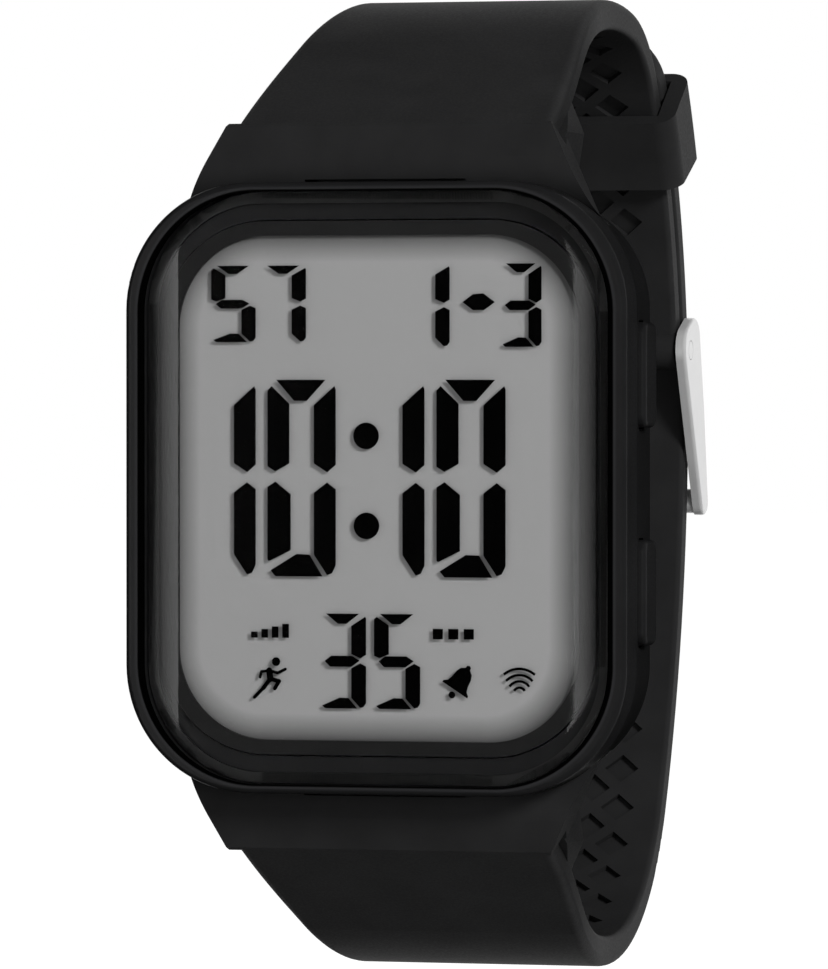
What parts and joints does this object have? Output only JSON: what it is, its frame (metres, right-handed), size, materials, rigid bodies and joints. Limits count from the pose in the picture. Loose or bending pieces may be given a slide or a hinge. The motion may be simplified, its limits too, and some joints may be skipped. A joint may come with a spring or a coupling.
{
  "type": "digital wristwatch",
  "caption": "Rectangular digital wristwatch with a domed crystal, bar pushers and a silicone strap buckled into a loop.",
  "frame": {"origin": "middle of the case back's outer face", "axes": "+Z towards 12 o'clock along the case, the dial faces -Y, +X is the 3 o'clock side with the pushers"},
  "size_m": [0.0396, 0.0636, 0.0762],
  "materials": {
    "case_plastic": "satin black resin",
    "crystal": "clear polished",
    "gasket": "matt",
    "mask": "black printed",
    "lcd": "grey display",
    "spacer": "white moulded",
    "elastomer": "striped silicone",
    "light_guide": "clear diffuser",
    "led": "moulded",
    "board": "green laminate",
    "potting": "black resin",
    "bright_metal": "satin steel",
    "capacitor": "ceramic",
    "holder": "black moulded",
    "contact_brass": "plated spring metal",
    "back_steel": "brushed",
    "screw_steel": "satin",
    "ceramic": "silvered ceramic",
    "pusher": "satin black resin",
    "strap": "matt black silicone",
    "buckle": "bright satin steel"
  },
  "bodies": {
    "case": {"case_body": "case_plastic", "crystal": "crystal", "crystal_gasket": "gasket", "display_mask": "mask", "lcd_panel": "lcd", "lcd_spacer": "spacer", "upper_connector_strip": "elastomer", "lower_connector_strip": "elastomer", "light_guide": "light_guide", "backlight_led": "led", "circuit_board": "board", "chip_cap": "potting", "quartz_can": "bright_metal", "board_capacitors": "capacitor", "movement_holder": "holder", "coin_cell": "bright_metal", "battery_clip": "bright_metal", "battery_clip_screws": "screw_steel", "battery_contact": "contact_brass", "upper_switch_contact": "contact_brass", "lower_switch_contact": "contact_brass", "case_back": "back_steel", "case_back_screws": "screw_steel", "case_back_gasket": "gasket", "buzzer_plate": "contact_brass", "buzzer_ceramic": "ceramic", "buzzer_spring": "bright_metal", "upper_pusher_spring": "bright_metal", "lower_pusher_spring": "bright_metal"},
    "upper_pusher_body": {"upper_pusher": "pusher", "upper_pusher_ring": "gasket", "upper_pusher_retainer": "bright_metal"},
    "lower_pusher_body": {"lower_pusher": "pusher", "lower_pusher_ring": "gasket", "lower_pusher_retainer": "bright_metal"},
    "upper_strap_body": {"upper_strap": "strap", "upper_bar_tube": "bright_metal", "upper_bar_tips": "bright_metal", "upper_bar_spring": "bright_metal", "buckle_bar": "buckle"},
    "lower_strap_body": {"lower_strap": "strap", "lower_bar_tube": "bright_metal", "lower_bar_tips": "bright_metal", "lower_bar_spring": "bright_metal"},
    "keeper_body": {"keeper": "strap"},
    "buckle_frame_body": {"buckle_frame": "buckle"},
    "tongue_body": {"tongue": "buckle"}
  },
  "joints": [
    {"name": "upper_pusher_slide", "type": "slide", "parent": "case", "child": "upper_pusher_body", "axis": [-1, 0, 0], "range_m": [0, 0.0006], "stiffness_N_per_m": 1500, "deforming": ["upper_pusher_spring"]},
    {"name": "lower_pusher_slide", "type": "slide", "parent": "case", "child": "lower_pusher_body", "axis": [-1, 0, 0], "range_m": [0, 0.0006], "stiffness_N_per_m": 1500, "deforming": ["lower_pusher_spring"]},
    {"name": "upper_strap_hinge", "type": "hinge", "parent": "case", "child": "upper_strap_body", "pos_m": [0, -0.0048, 0.02385], "axis": [1, 0, 0], "range_deg": [0, 40]},
    {"name": "lower_strap_hinge", "type": "hinge", "parent": "case", "child": "lower_strap_body", "pos_m": [0, -0.0048, -0.02385], "axis": [-1, 0, 0], "range_deg": [0, 35], "deforming": ["lower_strap"]},
    {"name": "keeper_slide_round", "type": "hinge", "parent": "upper_strap_body", "child": "keeper_body", "pos_m": [0, 0.0003, 0.006], "axis": [-1, 0, 0], "range_deg": [0, 9]},
    {"name": "buckle_hinge", "type": "hinge", "parent": "upper_strap_body", "child": "buckle_frame_body", "pos_m": [0, 0.04396, 0.01059], "axis": [1, 0, 0], "range_deg": [0, 80]},
    {"name": "tongue_hinge", "type": "hinge", "parent": "buckle_frame_body", "child": "tongue_body", "pos_m": [0, 0.04396, 0.01059], "axis": [1, 0, 0], "range_deg": [0, 30]}
  ]
}
